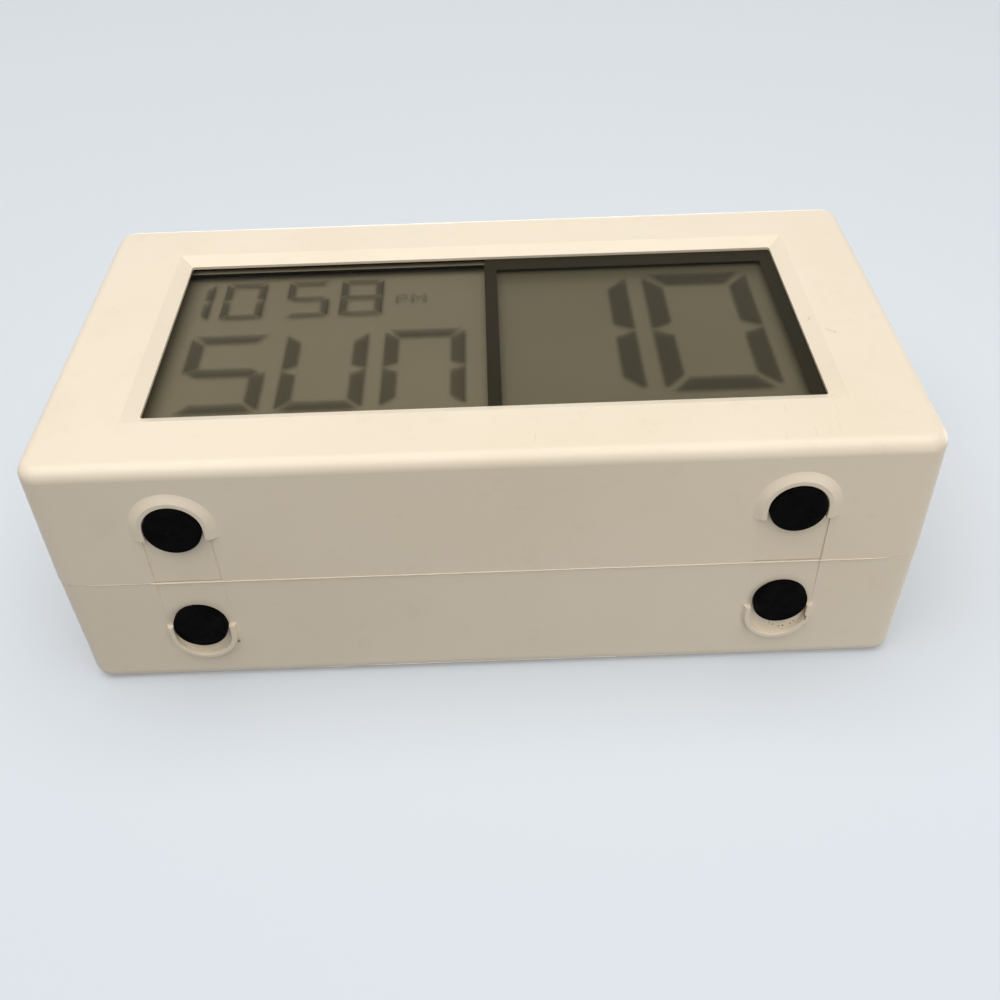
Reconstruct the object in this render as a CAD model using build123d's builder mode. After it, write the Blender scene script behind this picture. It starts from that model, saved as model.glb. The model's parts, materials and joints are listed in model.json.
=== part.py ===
from build123d import *
from math import cos, radians, sin, tan
import os

# Battery powered talking alarm clock with a large display, standing upright on four rubber feet.
# Millimetres. +X is the viewer's right, -Y is the way the display faces, +Z is up.
# The origin is on the surface that the feet stand on, under the middle of the housing.

# Housing
face_tolerance = 0.001
housing_width = 184.0
housing_height = 97.8
front_depth = 31.0
back_depth = 31.5
wall = 2.2
corner_radius = 5.0
front_edge_radius = 2.9
back_edge_radius = 3.0
front_draft = 0.3
back_draft = 1.0
seam_step = 0.1
seam_edge_radius = 0.15
seam_lip = 0.35
tongue_height = 1.8
tongue_thickness = 1.0
tongue_clearance = 0.1

# Feet and their seats
foot_diameter = 11.7
foot_thickness = 1.6
foot_edge_radius = 0.4
foot_inset = 28.8
front_seat_depth = 15.5
back_seat_depth = 47.2
back_left_slip = 3.1
back_right_slip = 4.5
seat_depth = 0.35
seat_rim_wall = 1.1
seat_rim_height = 0.8
seat_rim_round = 0.25
seat_leg = 2.8
front_flank_width = 1.3
back_flank_width = 0.4
flank_foot_width = 1.2
flank_foot_height = 0.25
foot_clearance = 0.2

# Display window and lens
window_margin_x = 20.85
window_height = 61.2
window_rise = 0.35
window_shift = 0.5
window_corner_radius = 0.7
bevel_width = 3.2
bevel_depth = 1.55
lens_margin = 3.7
lens_thickness = 1.3
lens_clearance = 0.2
lens_rib_thickness = 1.4
lens_rib_height = 3.0

# Display holder
holder_plate = 0.8
holder_wall = 1.4
holder_depth = 6.3
holder_flange = 1.4
flange_margin_x = 8.0
flange_margin_z = 0.4
divider_centre = 2.75
divider_width = 2.5
mask_top = 29.5
mask_right_margin = 2.25
open_margin = 2.0

# Display cells
glass_thickness = 0.75
glass_clearance = 0.2
ledge_height = 2.8
reflector_thickness = 0.3
strip_width = 2.2
cell_divider_wall = 1.2

# Screws
small_screw_radius = 1.0
small_head_radius = 1.9
small_head_height = 1.4
small_boss_radius = 3.0
small_screw_length = 6.0
case_screw_radius = 1.4
case_head_radius = 2.8
case_head_height = 2.2
case_screw_length = 12.0
case_boss_radius = 3.75
case_screw_inset = 9.5
case_screw_z = 39.5
case_well_radius = 3.3
case_well_floor = 2.6
thread_clearance = 0.05
shank_clearance = 0.3
gusset = 1.6

# Boards
board_thickness = 1.6
chip_x = 40.0
chip_length = 18.0
chip_width = 7.6
chip_height = 2.3
blob_radius = 7.0
capacitor_gap = 8.0
capacitor_radius = 4.0
capacitor_height = 11.5
side_boss_inset = 11.6
side_boss_z = 30.0
middle_boss_gap = 4.2
middle_tab_width = 12.0

# Alarm button on top
button_length = 64.0
button_width = 20.0
button_height = 3.0
button_travel = 1.5
button_clearance = 0.35
button_wall = 2.0
button_edge_radius = 2.0
flange_width = 2.0
flange_thickness = 1.6
flange_gap = 0.25
button_drop = 12.8
switch_side = 8.5
switch_height = 6.0
stem_side = 3.6
stem_clearance = 0.08
stem_engagement = 3.4
stem_rise = 3.0
lamp_radius = 1.5
lamp_height = 5.0
lamp_offset = 18.0
rail_thickness = 4.0
rail_reach = 11.0
rail_lip = 3.0
slot_depth = 1.8
slot_clearance = 0.15
rail_end_wall = 1.4

# Control strip on the back
strip_drop = 16.0
strip_length = 116.0
strip_height = 14.0
strip_recess = 1.6
strip_corner_radius = 3.0
set_button_diameter = 9.0
set_button_places = (-26.0, -10.0, 10.0, 26.0)
set_button_sink = 0.3
set_button_travel = 0.5
set_button_clearance = 0.25
set_button_flange = 1.2
set_flange_thickness = 1.0
set_post_radius = 1.5
set_button_edge_radius = 0.6
set_dish_radius = 14.0
set_dish_depth = 0.5
guide_gap = 0.3
tact_side = 6.0
tact_height = 3.5
tact_plunger_radius = 1.75
tact_plunger_height = 1.0
key_board_gap = 6.95
key_board_length = 132.0
key_board_height = 13.0
key_screw_places = (-62.0, 0.0, 62.0)
key_boss_radius = 2.8
slide_switch_offset = 45.5
slide_switch_length = 14.0
slide_switch_height = 6.0
slide_switch_depth = 4.2
slide_wall = 0.8
knob_length = 5.0
knob_height = 4.2
knob_flange_margin = 0.4
knob_flange_thickness = 0.8
knob_tail = 2.0
knob_chamfer = 0.5
mode_travel = 3.0
volume_travel = 2.5
slot_gap = 0.25

# Speaker
speaker_inset = 48.0
speaker_z = 40.0
speaker_radius = 25.0
speaker_flange_thickness = 1.2
speaker_seat_height = 1.2
speaker_seat_width = 1.5
speaker_ring_wall = 1.4
speaker_ring_height = 2.0
speaker_clearance = 0.3
basket_depth = 9.5
basket_sheet = 0.8
speaker_flange_lip = 2.6
coil_radius = 6.0
cone_sheet = 0.5
cone_roll = 2.5
magnet_radius = 13.0
magnet_thickness = 8.0
clamp_boss_gap = 4.7
clamp_width = 7.0
clamp_thickness = 1.0
clamp_overlap = 1.6
clamp_screw_length = 3.2
grille_slot_width = 2.2
grille_pitch = 4.6
grille_radius = 21.0

# Battery case
cell_radius = 7.1
cell_length = 49.2
cell_nub_radius = 2.65
cell_nub_height = 1.0
cell_edge_radius = 0.8
cell_pitch = 14.8
cell_count = 4
tub_clearance = 0.3
tub_wall = 1.6
tub_inset = 48.0
tub_bottom_gap = 6.5
spring_room = 7.0
plate_room = 1.6
contact_sheet = 0.4
contact_width = 8.0
contact_height = 11.0
contact_bend_radius = 0.8
door_thickness = 2.0
door_ledge = 1.4
door_clearance = 0.3
door_rib_height = 0.7
door_rib_width = 1.2
cell_sink = 0.5
tab_width = 8.0
tab_spacing = 34.0
tab_thickness = 1.3
tab_reach = 2.8
tab_gap = 0.2
tab_sweep = 5.6
latch_width = 12.0
latch_length = 11.0
latch_slit = 1.2
latch_grip_radius = 6.0
latch_grip_depth = 1.0
latch_grip_rise = 0.8

# Places that follow from the sizes above
front_face = -(front_depth + back_depth) / 2
seam = front_face + front_depth
back_face = seam + back_depth
housing_bottom = foot_thickness - seat_depth
housing_top = housing_bottom + housing_height
housing_middle = housing_bottom + housing_height / 2
front_inside = front_face + wall
back_inside = back_face - wall
foot_x = housing_width / 2 - foot_inset
case_screw_x = housing_width / 2 - case_screw_inset
side_boss_x = housing_width / 2 - side_boss_inset
speaker_x = housing_width / 2 - speaker_inset
tub_x = tub_inset - housing_width / 2
rim_crest = housing_bottom - seat_rim_height
rim_radius = foot_diameter / 2 + foot_clearance + seat_rim_wall
front_seat = front_face + front_seat_depth
back_seat = front_face + back_seat_depth
front_ground = housing_bottom + (seam - front_seat + rim_radius) * tan(radians(front_draft))
back_ground = housing_bottom + seam_step + (back_seat + rim_radius - seam) * tan(radians(back_draft))
display_middle = housing_middle + window_rise
window_width = housing_width - 2 * window_margin_x
mask_right = window_shift + window_width / 2 - mask_right_margin
lens_width = window_width + 2 * lens_margin
lens_height = window_height + 2 * lens_margin
lens_back = front_inside + lens_thickness
holder_back = lens_back + holder_depth
flange_front = holder_back - holder_flange
cell_front = lens_back + holder_plate
ledge_back = cell_front + glass_thickness
cell_back = cell_front + 2 * glass_thickness
tray_width = lens_width - 2 * holder_wall
tray_height = lens_height - 2 * holder_wall
flange_half_z = lens_height / 2 + flange_margin_z
board_top = housing_top - wall - button_drop
switch_top = board_top + switch_height
stem_top = switch_top + stem_rise
back_rise = tan(radians(back_draft))
strip_z = housing_top - strip_drop
strip_floor = back_face - strip_recess
strip_inside = strip_floor - wall
key_board_back = strip_inside - key_board_gap
tub_height = cell_count * cell_pitch + 2 * tub_clearance
tub_length = cell_length + cell_nub_height + spring_room + plate_room
tub_bottom = housing_bottom + tub_bottom_gap
tub_middle = tub_bottom + tub_height / 2
tub_top = tub_bottom + tub_height
cell_y = back_face - door_thickness - cell_sink - door_rib_height - cell_radius
tub_floor = cell_y - cell_radius - tub_clearance
door_width = tub_length + 2 * door_ledge
door_height = tub_height + 2 * door_ledge
door_top = tub_top + door_ledge
door_bottom = tub_bottom - door_ledge
tab_places = (tub_x - tab_spacing / 2, tub_x + tab_spacing / 2)
slide_switches = ((-slide_switch_offset, mode_travel), (slide_switch_offset, volume_travel))
speaker_seat = back_inside - speaker_seat_height
speaker_back = speaker_seat - speaker_flange_thickness

os.makedirs("parts", exist_ok=True)


def save(piece, name):
    piece.part.label = name
    export_step(piece.part, f"parts/{name}.step")


def facing_front(y):
    """A plane parallel to the display. Its x is +X, its y is +Z, and it extrudes towards the front."""
    return Plane.XZ.offset(-y)


def facing_back(y):
    """The same plane seen from behind. Its x is -X, its y is +Z, and it extrudes towards the back."""
    return Plane(origin=(0, y, 0), x_dir=(-1, 0, 0), z_dir=(0, 1, 0))


def level(z):
    return Plane.XY.offset(z)


def case_screw_places():
    heights = (housing_middle - case_screw_z, housing_middle + case_screw_z)
    return [(x, z) for x in (-case_screw_x, case_screw_x) for z in heights]


def holder_screw_places():
    heights = (display_middle - side_boss_z, display_middle + side_boss_z)
    sides = [(x, z) for x in (-side_boss_x, side_boss_x) for z in heights]
    reach = lens_height / 2 + middle_boss_gap
    return sides + [(0, display_middle - reach), (0, display_middle + reach)]


def clamp_places():
    """Centre and direction of each clamp round the speaker."""
    reach = speaker_radius + clamp_boss_gap
    turns = [(angle, radians(angle)) for angle in (90, 210, 330)]
    return [(speaker_x + reach * cos(turn), speaker_z + reach * sin(turn), angle) for angle, turn in turns]


def u_outline(centre_x, centre_y, radius, leg, towards):
    """Closed outline of a half disc with straight legs that run towards the seam."""
    end = centre_y + towards * leg
    left = centre_x - radius
    right = centre_x + radius
    with BuildLine() as outline:
        ThreePointArc((left, centre_y), (centre_x, centre_y - towards * radius), (right, centre_y))
        Polyline((right, centre_y), (right, end), (left, end), (left, centre_y))
    make_face(outline.edges())


def rim_flank(centre_x, centre_y, flank, ground, towards):
    """Sloping outer flank of a foot's rim that runs out into the housing in a shallow foot."""
    sections = (
        (rim_radius, rim_crest),
        (rim_radius + flank, ground - flank_foot_height),
        (rim_radius + flank + flank_foot_width, ground + flank_foot_height),
    )
    for (low_radius, low), (high_radius, high) in zip(sections, sections[1:]):
        with BuildSketch(level(low)) as lower:
            u_outline(centre_x, centre_y, low_radius, seat_leg, towards)
        with BuildSketch(level(high)) as upper:
            u_outline(centre_x, centre_y, high_radius, seat_leg, towards)
        loft([lower.sketch, upper.sketch], ruled=True)


def foot_seats(seat_y, towards, flank, ground):
    """Flat seats with U-shaped rims under the housing, open towards the seam so that the mould can part."""
    band = abs(seam - seat_y) - seat_leg
    band_middle = seat_y + towards * (seat_leg + band / 2)
    with BuildSketch(level(housing_bottom + wall)) as seat:
        for x in (-foot_x, foot_x):
            u_outline(x, seat_y, rim_radius, seat_leg, towards)
            with Locations((x, band_middle)):
                Rectangle(2 * rim_radius, band)
    extrude(seat.sketch, amount=foot_thickness - housing_bottom - wall)
    with BuildSketch(level(foot_thickness)) as rim:
        for x in (-foot_x, foot_x):
            u_outline(x, seat_y, rim_radius, seat_leg, towards)
    extrude(rim.sketch, amount=rim_crest - foot_thickness)
    for x in (-foot_x, foot_x):
        rim_flank(x, seat_y, flank, ground, towards)
    with BuildSketch(level(foot_thickness)) as pocket:
        for x in (-foot_x, foot_x):
            u_outline(x, seat_y, rim_radius - seat_rim_wall, seat_leg, towards)
            with Locations((x, band_middle)):
                Rectangle(2 * rim_radius, band)
    extrude(pocket.sketch, amount=-foot_thickness, mode=Mode.SUBTRACT)


def band_lips():
    """Chamfer where the back shell's two flat bands meet the seam."""
    for x in (-foot_x, foot_x):
        with BuildSketch(Plane.YZ.offset(x - rim_radius)) as lip:
            corner = (seam, foot_thickness)
            Polygon(corner, (seam + seam_lip, foot_thickness), (seam, foot_thickness + seam_lip), align=None)
        extrude(lip.sketch, amount=2 * rim_radius, mode=Mode.SUBTRACT)


def level_edges(shell, height):
    """The edges of a shell that lie at one height."""
    return shell.edges().filter_by_position(Axis.Z, height - face_tolerance, height + face_tolerance)


def corner_gussets(start, end):
    """Ribs that tie the four corner screw bosses to the side, top and bottom walls."""
    bite = wall / 4
    side_gap = housing_width / 2 - wall + bite - case_screw_x
    end_gap = housing_height / 2 - wall + bite - case_screw_z
    with BuildSketch(facing_front(start)) as ribs:
        for x, z in case_screw_places():
            middle_x = x + side_gap / 2 if x > 0 else x - side_gap / 2
            middle_z = z + end_gap / 2 if z > housing_middle else z - end_gap / 2
            with Locations((middle_x, z)):
                Rectangle(side_gap, gusset)
            with Locations((x, middle_z)):
                Rectangle(gusset, end_gap)
    extrude(ribs.sketch, amount=start - end)


def board_rails(towards):
    """Hangers under the top wall whose slots hold the ends of the alarm board."""
    inner = button_length / 2 + flange_width + button_clearance
    middle_x = inner + rail_thickness / 2
    low = board_top - board_thickness - rail_lip
    with BuildSketch(level(low)) as rails:
        for x in (-middle_x, middle_x):
            with Locations((x, seam + towards * rail_reach / 2)):
                Rectangle(rail_thickness, rail_reach)
    extrude(rails.sketch, amount=housing_top - wall / 2 - low)
    slot_length = rail_reach - rail_end_wall
    slot_x = inner + slot_depth / 2
    with BuildSketch(level(board_top - board_thickness - slot_clearance)) as slots:
        for x in (-slot_x, slot_x):
            with Locations((x, seam + towards * slot_length / 2)):
                Rectangle(slot_depth, slot_length)
    extrude(slots.sketch, amount=board_thickness + 2 * slot_clearance, mode=Mode.SUBTRACT)


def button_opening():
    with BuildSketch(level(board_top)) as opening:
        with Locations((0, seam)):
            SlotOverall(button_length, button_width)
    extrude(opening.sketch, amount=housing_top + button_height - board_top, mode=Mode.SUBTRACT)


def housing_outline(inset, radius, mode=Mode.ADD):
    with Locations((0, housing_middle)):
        RectangleRounded(housing_width - 2 * inset, housing_height - 2 * inset, radius, mode=mode)


def holder_outline():
    """Outline that the display holder's flange and the main board share, with a tab above and below."""
    tab_height = middle_boss_gap + small_boss_radius
    with Locations((0, display_middle)):
        Rectangle(lens_width + 2 * flange_margin_x, 2 * flange_half_z)
    for side in (-1, 1):
        with Locations((0, display_middle + side * (lens_height / 2 + tab_height / 2))):
            Rectangle(middle_tab_width, tab_height)


# Front shell: moulded half with the display window, the bosses for the display and the corner bosses
with BuildPart() as front_shell:
    with BuildSketch(facing_front(seam)):
        housing_outline(0, corner_radius)
    extrude(amount=front_depth, taper=front_draft)
    fillet(front_shell.faces().sort_by(Axis.Y)[0].edges(), front_edge_radius)
    fillet(front_shell.faces().sort_by(Axis.Y)[-1].edges(), seam_edge_radius)
    with BuildSketch(facing_front(seam)):
        housing_outline(wall, corner_radius - wall)
    extrude(amount=front_depth - wall, taper=front_draft, mode=Mode.SUBTRACT)
    # Raised rib round the lens
    with BuildSketch(facing_front(front_inside + lens_rib_height)):
        with Locations((0, display_middle)):
            rib_gap = 2 * lens_clearance
            rib_out = rib_gap + 2 * lens_rib_thickness
            Rectangle(lens_width + rib_out, lens_height + rib_out)
            Rectangle(lens_width + rib_gap, lens_height + rib_gap, mode=Mode.SUBTRACT)
    extrude(amount=lens_rib_height + wall / 2)
    # Bosses that the display holder and the main board are screwed to
    with BuildSketch(facing_front(flange_front)):
        with Locations(*holder_screw_places()):
            Circle(small_boss_radius)
    extrude(amount=flange_front - front_inside + wall / 2)
    with BuildSketch(facing_front(flange_front)):
        with Locations(*holder_screw_places()):
            Circle(small_screw_radius + thread_clearance)
    extrude(amount=small_screw_length, mode=Mode.SUBTRACT)
    # Window with its mitred bevel
    with BuildSketch(facing_front(front_face)):
        with Locations((window_shift, display_middle)):
            Rectangle(window_width + 2 * bevel_width, window_height + 2 * bevel_width)
    with BuildSketch(facing_front(front_face + bevel_depth)):
        with Locations((window_shift, display_middle)):
            Rectangle(window_width, window_height)
    loft(mode=Mode.SUBTRACT)
    with BuildSketch(facing_front(front_inside)):
        with Locations((window_shift, display_middle)):
            RectangleRounded(window_width, window_height, window_corner_radius)
    extrude(amount=wall, mode=Mode.SUBTRACT)
    # Corner bosses for the case screws
    with BuildSketch(facing_front(seam)):
        with Locations(*case_screw_places()):
            Circle(case_boss_radius)
    extrude(amount=front_depth - wall / 2)
    corner_gussets(seam, front_inside - wall / 4)
    with BuildSketch(facing_front(seam)):
        with Locations(*case_screw_places()):
            Circle(case_screw_radius + thread_clearance)
    extrude(amount=case_screw_length, mode=Mode.SUBTRACT)
    board_rails(-1)
    button_opening()
    foot_seats(front_seat, 1, front_flank_width, front_ground)
    fillet(level_edges(front_shell, rim_crest).filter_by(GeomType.CIRCLE), seat_rim_round)
    # Rebate round the inside of the seam that takes the back shell's tongue
    with BuildSketch(facing_front(seam)):
        housing_outline(seam_step + wall - tongue_thickness - tongue_clearance, corner_radius - wall)
        housing_outline(seam_step + wall + tongue_clearance, corner_radius - wall, mode=Mode.SUBTRACT)
    extrude(amount=tongue_height + tongue_clearance, mode=Mode.SUBTRACT)
save(front_shell, "front_shell")

# Back shell: moulded half with the battery case, the grille, the control strip and the screw wells
with BuildPart() as back_shell:
    with BuildSketch(facing_back(seam)):
        housing_outline(seam_step, corner_radius)
    extrude(amount=back_depth, taper=back_draft)
    fillet(back_shell.faces().sort_by(Axis.Y)[-1].edges(), back_edge_radius)
    fillet(back_shell.faces().sort_by(Axis.Y)[0].edges(), seam_lip)
    with BuildSketch(facing_back(seam)):
        housing_outline(seam_step + wall, corner_radius - wall)
    extrude(amount=back_depth - wall, taper=back_draft, mode=Mode.SUBTRACT)
    # Tongue that fits the front shell's rebate
    with BuildSketch(facing_front(seam)):
        housing_outline(seam_step + wall - tongue_thickness, corner_radius - wall)
        housing_outline(seam_step + wall, corner_radius - wall, mode=Mode.SUBTRACT)
    extrude(amount=tongue_height)
    # Block of the battery case
    with BuildSketch(facing_front(tub_floor - tub_wall)):
        with Locations((tub_x, tub_middle)):
            Rectangle(tub_length + 2 * tub_wall, tub_height + 2 * tub_wall)
    extrude(amount=tub_floor - tub_wall - back_inside)
    # Thicker wall behind the control strip
    with BuildSketch(facing_front(strip_inside)):
        with Locations((0, strip_z)):
            RectangleRounded(strip_length + 2 * wall, strip_height + 2 * wall, strip_corner_radius)
    extrude(amount=strip_inside - back_inside)
    # Tubes of the case screw wells
    with BuildSketch(facing_front(seam)):
        with Locations(*case_screw_places()):
            Circle(case_well_radius + gusset)
    extrude(amount=seam - back_inside)
    corner_gussets(back_inside + wall / 4, seam)
    # Bosses of the key board
    with BuildSketch(facing_front(key_board_back)):
        with Locations(*[(x, strip_z) for x in key_screw_places]):
            Circle(key_boss_radius)
    extrude(amount=key_board_back - back_inside)
    # Speaker seat, locating ring and clamp bosses
    with BuildSketch(facing_front(speaker_seat)):
        with Locations((speaker_x, speaker_z)):
            Circle(speaker_radius)
            Circle(speaker_radius - speaker_seat_width, mode=Mode.SUBTRACT)
    extrude(amount=speaker_seat - back_inside)
    with BuildSketch(facing_front(speaker_seat - speaker_ring_height)):
        with Locations((speaker_x, speaker_z)):
            Circle(speaker_radius + speaker_clearance + speaker_ring_wall)
            Circle(speaker_radius + speaker_clearance, mode=Mode.SUBTRACT)
        for x, z, angle in clamp_places():
            with Locations(Location((x, z), angle)):
                Rectangle(4 * clamp_boss_gap, clamp_width + 1, mode=Mode.SUBTRACT)
    extrude(amount=speaker_seat - speaker_ring_height - back_inside)
    with BuildSketch(facing_front(speaker_back)):
        with Locations(*[(x, z) for x, z, angle in clamp_places()]):
            Circle(small_boss_radius)
    extrude(amount=speaker_back - back_inside)
    board_rails(1)
    button_opening()
    # Inside of the battery case with the door's ledge and the notches for the door's tabs
    with BuildSketch(facing_front(back_face)):
        with Locations((tub_x, tub_middle)):
            Rectangle(tub_length, tub_height)
    extrude(amount=back_face - tub_floor, mode=Mode.SUBTRACT)
    with BuildSketch(facing_front(back_face)):
        with Locations((tub_x, tub_middle)):
            Rectangle(door_width + 2 * door_clearance, door_height + 2 * door_clearance)
    extrude(amount=door_thickness, mode=Mode.SUBTRACT)
    notch_height = tub_wall + tab_reach + door_clearance
    with BuildSketch(facing_front(back_face - door_thickness)):
        with Locations(*[(x, tub_top + notch_height / 2) for x in tab_places]):
            Rectangle(tab_width + 2 * door_clearance, notch_height)
    extrude(amount=tab_sweep - door_thickness, mode=Mode.SUBTRACT)
    # Finger scoop below the door's latch
    with Locations((tub_x, back_face + latch_grip_radius - latch_grip_depth, door_bottom + latch_grip_rise)):
        Sphere(latch_grip_radius, mode=Mode.SUBTRACT)
    # Screw wells and their clearance holes
    with BuildSketch(facing_front(back_face)):
        with Locations(*case_screw_places()):
            Circle(case_well_radius)
    extrude(amount=back_face - seam - case_well_floor, mode=Mode.SUBTRACT)
    with BuildSketch(facing_front(back_face)):
        with Locations(*case_screw_places()):
            Circle(case_screw_radius + shank_clearance)
    extrude(amount=back_face - seam, mode=Mode.SUBTRACT)
    # Control strip with its button holes and knob slots
    with BuildSketch(facing_front(back_face)):
        with Locations((0, strip_z)):
            RectangleRounded(strip_length, strip_height, strip_corner_radius)
    extrude(amount=strip_recess, mode=Mode.SUBTRACT)
    with BuildSketch(facing_front(strip_floor)):
        with Locations(*[(x, strip_z) for x in set_button_places]):
            Circle(set_button_diameter / 2 + set_button_clearance)
        for x, travel in slide_switches:
            with Locations((x, strip_z)):
                Rectangle(knob_length + 2 * (travel + slot_gap), knob_height + 2 * slot_gap)
    extrude(amount=wall, mode=Mode.SUBTRACT)
    # Pilot holes of the key board and the speaker clamps
    with BuildSketch(facing_front(key_board_back)):
        with Locations(*[(x, strip_z) for x in key_screw_places]):
            Circle(small_screw_radius + thread_clearance)
    extrude(amount=board_thickness - small_screw_length, mode=Mode.SUBTRACT)
    with BuildSketch(facing_front(speaker_back)):
        with Locations(*[(x, z) for x, z, angle in clamp_places()]):
            Circle(small_screw_radius + thread_clearance)
    extrude(amount=clamp_thickness - clamp_screw_length, mode=Mode.SUBTRACT)
    # Speaker grille: slots that fill a circle
    rows = int(grille_radius / grille_pitch)
    with BuildSketch(facing_front(back_face)):
        for row in range(-rows, rows + 1):
            rise = row * grille_pitch
            slot_length = 2 * (grille_radius**2 - rise**2) ** 0.5
            with Locations((speaker_x, speaker_z + rise)):
                SlotOverall(slot_length, grille_slot_width)
    extrude(amount=wall, mode=Mode.SUBTRACT)
    foot_seats(back_seat, -1, back_flank_width, back_ground)
    fillet(level_edges(back_shell, rim_crest).filter_by(GeomType.CIRCLE), seat_rim_round)
    band_lips()
save(back_shell, "back_shell")

# Clear lens behind the window
with BuildPart() as display_lens:
    with BuildSketch(facing_front(lens_back)):
        with Locations((0, display_middle)):
            Rectangle(lens_width, lens_height)
    extrude(amount=lens_thickness)
save(display_lens, "display_lens")

# Display holder: a tray with the masks in front and a flange behind
with BuildPart() as lcd_holder:
    with BuildSketch(facing_front(flange_front)):
        with Locations((0, display_middle)):
            Rectangle(lens_width, lens_height)
    extrude(amount=flange_front - lens_back)
    with BuildSketch(facing_front(holder_back)):
        holder_outline()
    extrude(amount=holder_flange)
    with BuildSketch(facing_front(holder_back)):
        with Locations((0, display_middle)):
            Rectangle(tray_width, tray_height)
            with Locations((divider_centre, 0)):
                Rectangle(cell_divider_wall, tray_height, mode=Mode.SUBTRACT)
    extrude(amount=holder_back - cell_front, mode=Mode.SUBTRACT)
    # Windows: the left one is wider than the housing's, the right one leaves a mask above and beside the date
    half_width = window_width / 2 + open_margin
    half_height = window_height / 2 + open_margin
    with BuildSketch(facing_front(cell_front)):
        for left, right, top in (
            (-half_width, divider_centre - divider_width / 2, half_height),
            (divider_centre + divider_width / 2, mask_right, mask_top),
        ):
            with Locations(((left + right) / 2, display_middle + (top - half_height) / 2)):
                Rectangle(right - left, top + half_height)
    extrude(amount=holder_plate, mode=Mode.SUBTRACT)
    with BuildSketch(facing_front(holder_back)):
        with Locations(*holder_screw_places()):
            Circle(small_screw_radius + shank_clearance)
    extrude(amount=holder_flange, mode=Mode.SUBTRACT)
save(lcd_holder, "lcd_holder")


def cell_span(side):
    """Left and right edge of the cell on one side of the holder's divider."""
    outer = tray_width / 2 - glass_clearance
    inner = cell_divider_wall / 2 + glass_clearance
    return (-outer, divider_centre - inner) if side < 0 else (divider_centre + inner, outer)


# Display cells, each a front glass with a contact ledge below the shorter rear glass, and their reflectors
for name, side in (("time", -1), ("date", 1)):
    left, right = cell_span(side)
    full = tray_height - 2 * glass_clearance
    with BuildPart() as display_cell:
        with BuildSketch(facing_front(ledge_back)):
            with Locations(((left + right) / 2, display_middle)):
                Rectangle(right - left, full)
        extrude(amount=glass_thickness)
        with BuildSketch(facing_front(cell_back)):
            with Locations(((left + right) / 2, display_middle + ledge_height / 2)):
                Rectangle(right - left, full - ledge_height)
        extrude(amount=glass_thickness)
    save(display_cell, f"{name}_lcd_cell")
    with BuildPart() as reflector:
        with BuildSketch(facing_front(cell_back + reflector_thickness)):
            with Locations(((left + right) / 2, display_middle + ledge_height / 2)):
                Rectangle(right - left, full - ledge_height)
        extrude(amount=reflector_thickness)
    save(reflector, f"{name}_lcd_reflector")

# Rubber strips that join the contact ledges to the main board
with BuildPart() as lcd_connector_strips:
    with BuildSketch(facing_front(holder_back)):
        for side in (-1, 1):
            left, right = cell_span(side)
            strip_middle = display_middle - tray_height / 2 + glass_clearance + strip_width / 2
            with Locations(((left + right) / 2, strip_middle)):
                Rectangle(right - left - 2 * strip_width, strip_width)
    extrude(amount=holder_back - ledge_back)
save(lcd_connector_strips, "lcd_connector_strips")

# Main board on the holder's flange
with BuildPart() as main_board:
    with BuildSketch(facing_front(holder_back + board_thickness)):
        holder_outline()
        with Locations(*holder_screw_places()):
            Circle(small_screw_radius + shank_clearance, mode=Mode.SUBTRACT)
    extrude(amount=board_thickness)
save(main_board, "main_board")
main_board_back = holder_back + board_thickness


def pan_screws(piece_name, places, seat, towards, radius, length, head_radius, head_height):
    """Screws with domed heads. The heads rest on the plane at y = seat, and the shanks point towards -Y or +Y."""
    plane = facing_front if towards < 0 else facing_back
    with BuildPart() as screws:
        with BuildSketch(plane(seat)):
            for x, z in places:
                with Locations((x if towards < 0 else -x, z)):
                    Circle(radius)
        extrude(amount=length)
        with BuildSketch(plane(seat)):
            for x, z in places:
                with Locations((x if towards < 0 else -x, z)):
                    Circle(head_radius)
        extrude(amount=-head_height)
        crown = screws.faces().filter_by(Axis.Y).group_by(Axis.Y)[-1 if towards < 0 else 0]
        fillet(crown.edges(), head_height * 0.6)
        with BuildSketch(plane(seat - towards * head_height)):
            for x, z in places:
                with Locations((x if towards < 0 else -x, z)):
                    Rectangle(head_radius, head_radius / 3)
                    Rectangle(head_radius / 3, head_radius)
        extrude(amount=head_height * 0.6, mode=Mode.SUBTRACT)
    save(screws, piece_name)


pan_screws(
    "main_board_screws", holder_screw_places(), main_board_back, -1,
    small_screw_radius, small_screw_length, small_head_radius, small_head_height,
)
pan_screws(
    "case_screws", case_screw_places(), seam + case_well_floor, -1,
    case_screw_radius, case_screw_length, case_head_radius, case_head_height,
)
pan_screws(
    "key_board_screws", [(x, strip_z) for x in key_screw_places], key_board_back - board_thickness, 1,
    small_screw_radius, small_screw_length, small_head_radius, small_head_height,
)
pan_screws(
    "speaker_screws", [(x, z) for x, z, angle in clamp_places()], speaker_back - clamp_thickness, 1,
    small_screw_radius, clamp_screw_length, small_head_radius, small_head_height,
)

# Parts on the main board: speech chip, clock chip under its epoxy blob, two capacitors
with BuildPart() as speech_chip:
    with BuildSketch(facing_back(main_board_back)):
        with Locations((chip_x, housing_middle)):
            Rectangle(chip_length, chip_width)
    extrude(amount=chip_height)
    chamfer(speech_chip.faces().sort_by(Axis.Y)[-1].edges(), chip_height / 6)
save(speech_chip, "speech_chip")

with BuildPart() as clock_chip:
    with BuildSketch(facing_back(main_board_back)):
        with Locations((-chip_x, housing_middle)):
            Circle(blob_radius)
    extrude(amount=chip_height)
    fillet(clock_chip.faces().sort_by(Axis.Y)[-1].edges(), chip_height * 0.8)
save(clock_chip, "clock_chip")

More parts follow.
